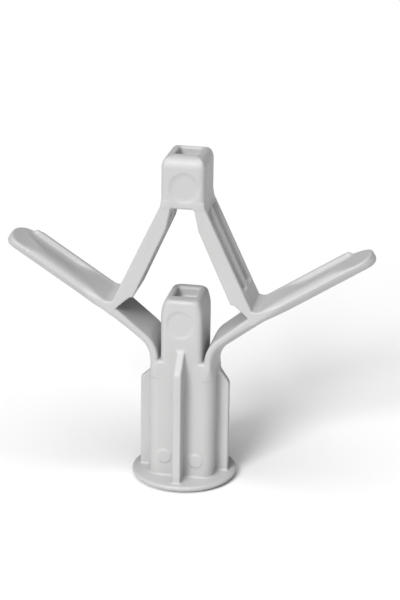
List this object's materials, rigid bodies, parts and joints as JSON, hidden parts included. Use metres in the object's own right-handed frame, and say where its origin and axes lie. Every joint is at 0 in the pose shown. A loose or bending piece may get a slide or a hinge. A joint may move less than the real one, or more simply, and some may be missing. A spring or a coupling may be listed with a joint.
{
  "type": "toggle wall anchor",
  "caption": "Plastic hollow-wall toggle anchor: flanged barrel with anti-rotation fins, folding wings on strap hinges, and struts to a nose block.",
  "frame": {"origin": "centre of the flange's outer face, where the screw goes in", "axes": "+Z along the barrel from the flange to the nose, +X along the spread of the wings, +Y across them"},
  "size_m": [0.0394, 0.0112, 0.0359],
  "materials": {
    "moulded_plastic": "satin"
  },
  "bodies": {
    "root": {"flange": "moulded_plastic", "barrel": "moulded_plastic", "fin_front": "moulded_plastic", "fin_back": "moulded_plastic", "fin_left": "moulded_plastic", "fin_right": "moulded_plastic", "core_block": "moulded_plastic"},
    "left_strap": {"strap_left": "moulded_plastic"},
    "left_wing": {"wing_pad_left": "moulded_plastic", "wing_floor_left": "moulded_plastic", "wing_rail_front_left": "moulded_plastic", "wing_rail_back_left": "moulded_plastic", "wing_tip_left": "moulded_plastic"},
    "left_strut": {"strut_left": "moulded_plastic", "strut_rib_left": "moulded_plastic"},
    "right_strap": {"strap_right": "moulded_plastic"},
    "right_wing": {"wing_pad_right": "moulded_plastic", "wing_floor_right": "moulded_plastic", "wing_rail_front_right": "moulded_plastic", "wing_rail_back_right": "moulded_plastic", "wing_tip_right": "moulded_plastic"},
    "right_strut": {"strut_right": "moulded_plastic", "strut_rib_right": "moulded_plastic"},
    "nose": {"nose_block": "moulded_plastic"}
  },
  "joints": [
    {"name": "left_strap_bend", "type": "hinge", "parent": "root", "child": "left_strap", "pos_m": [-0.00312, 0, 0.0141], "axis": [0, 1, 0], "range_deg": [-16.5, 25], "stiffness_Nm_per_rad": 0.01},
    {"name": "left_wing_fold", "type": "hinge", "parent": "left_strap", "child": "left_wing", "pos_m": [-0.0065, 0, 0.01835], "axis": [0, 1, 0], "range_deg": [-16.5, 25]},
    {"name": "left_elbow", "type": "hinge", "parent": "left_wing", "child": "left_strut", "pos_m": [-0.00725, 0, 0.0198], "axis": [0, -1, 0], "range_deg": [-44.09, 66.8]},
    {"name": "right_strap_bend", "type": "hinge", "parent": "root", "child": "right_strap", "pos_m": [0.00312, 0, 0.0141], "axis": [0, -1, 0], "range_deg": [-16.5, 25]},
    {"name": "right_wing_fold", "type": "hinge", "parent": "right_strap", "child": "right_wing", "pos_m": [0.0065, 0, 0.01835], "axis": [0, -1, 0], "range_deg": [-16.5, 25]},
    {"name": "right_elbow", "type": "hinge", "parent": "right_wing", "child": "right_strut", "pos_m": [0.00725, 0, 0.0198], "axis": [0, 1, 0], "range_deg": [-44.09, 66.8]},
    {"name": "nose_tilt", "type": "hinge", "parent": "left_strut", "child": "nose", "pos_m": [-0.00175, 0, 0.0304], "axis": [0, 1, 0], "range_deg": [-11.09, 16.8]}
  ],
  "couplings": [
    {"joint": "left_wing_fold", "follows": "left_strap_bend", "ratio": 1},
    {"joint": "left_elbow", "follows": "left_strap_bend", "ratio": 2.672},
    {"joint": "right_strap_bend", "follows": "left_strap_bend", "ratio": 1},
    {"joint": "right_wing_fold", "follows": "left_strap_bend", "ratio": 1},
    {"joint": "right_elbow", "follows": "left_strap_bend", "ratio": 2.672},
    {"joint": "nose_tilt", "follows": "left_strap_bend", "ratio": 0.672}
  ]
}
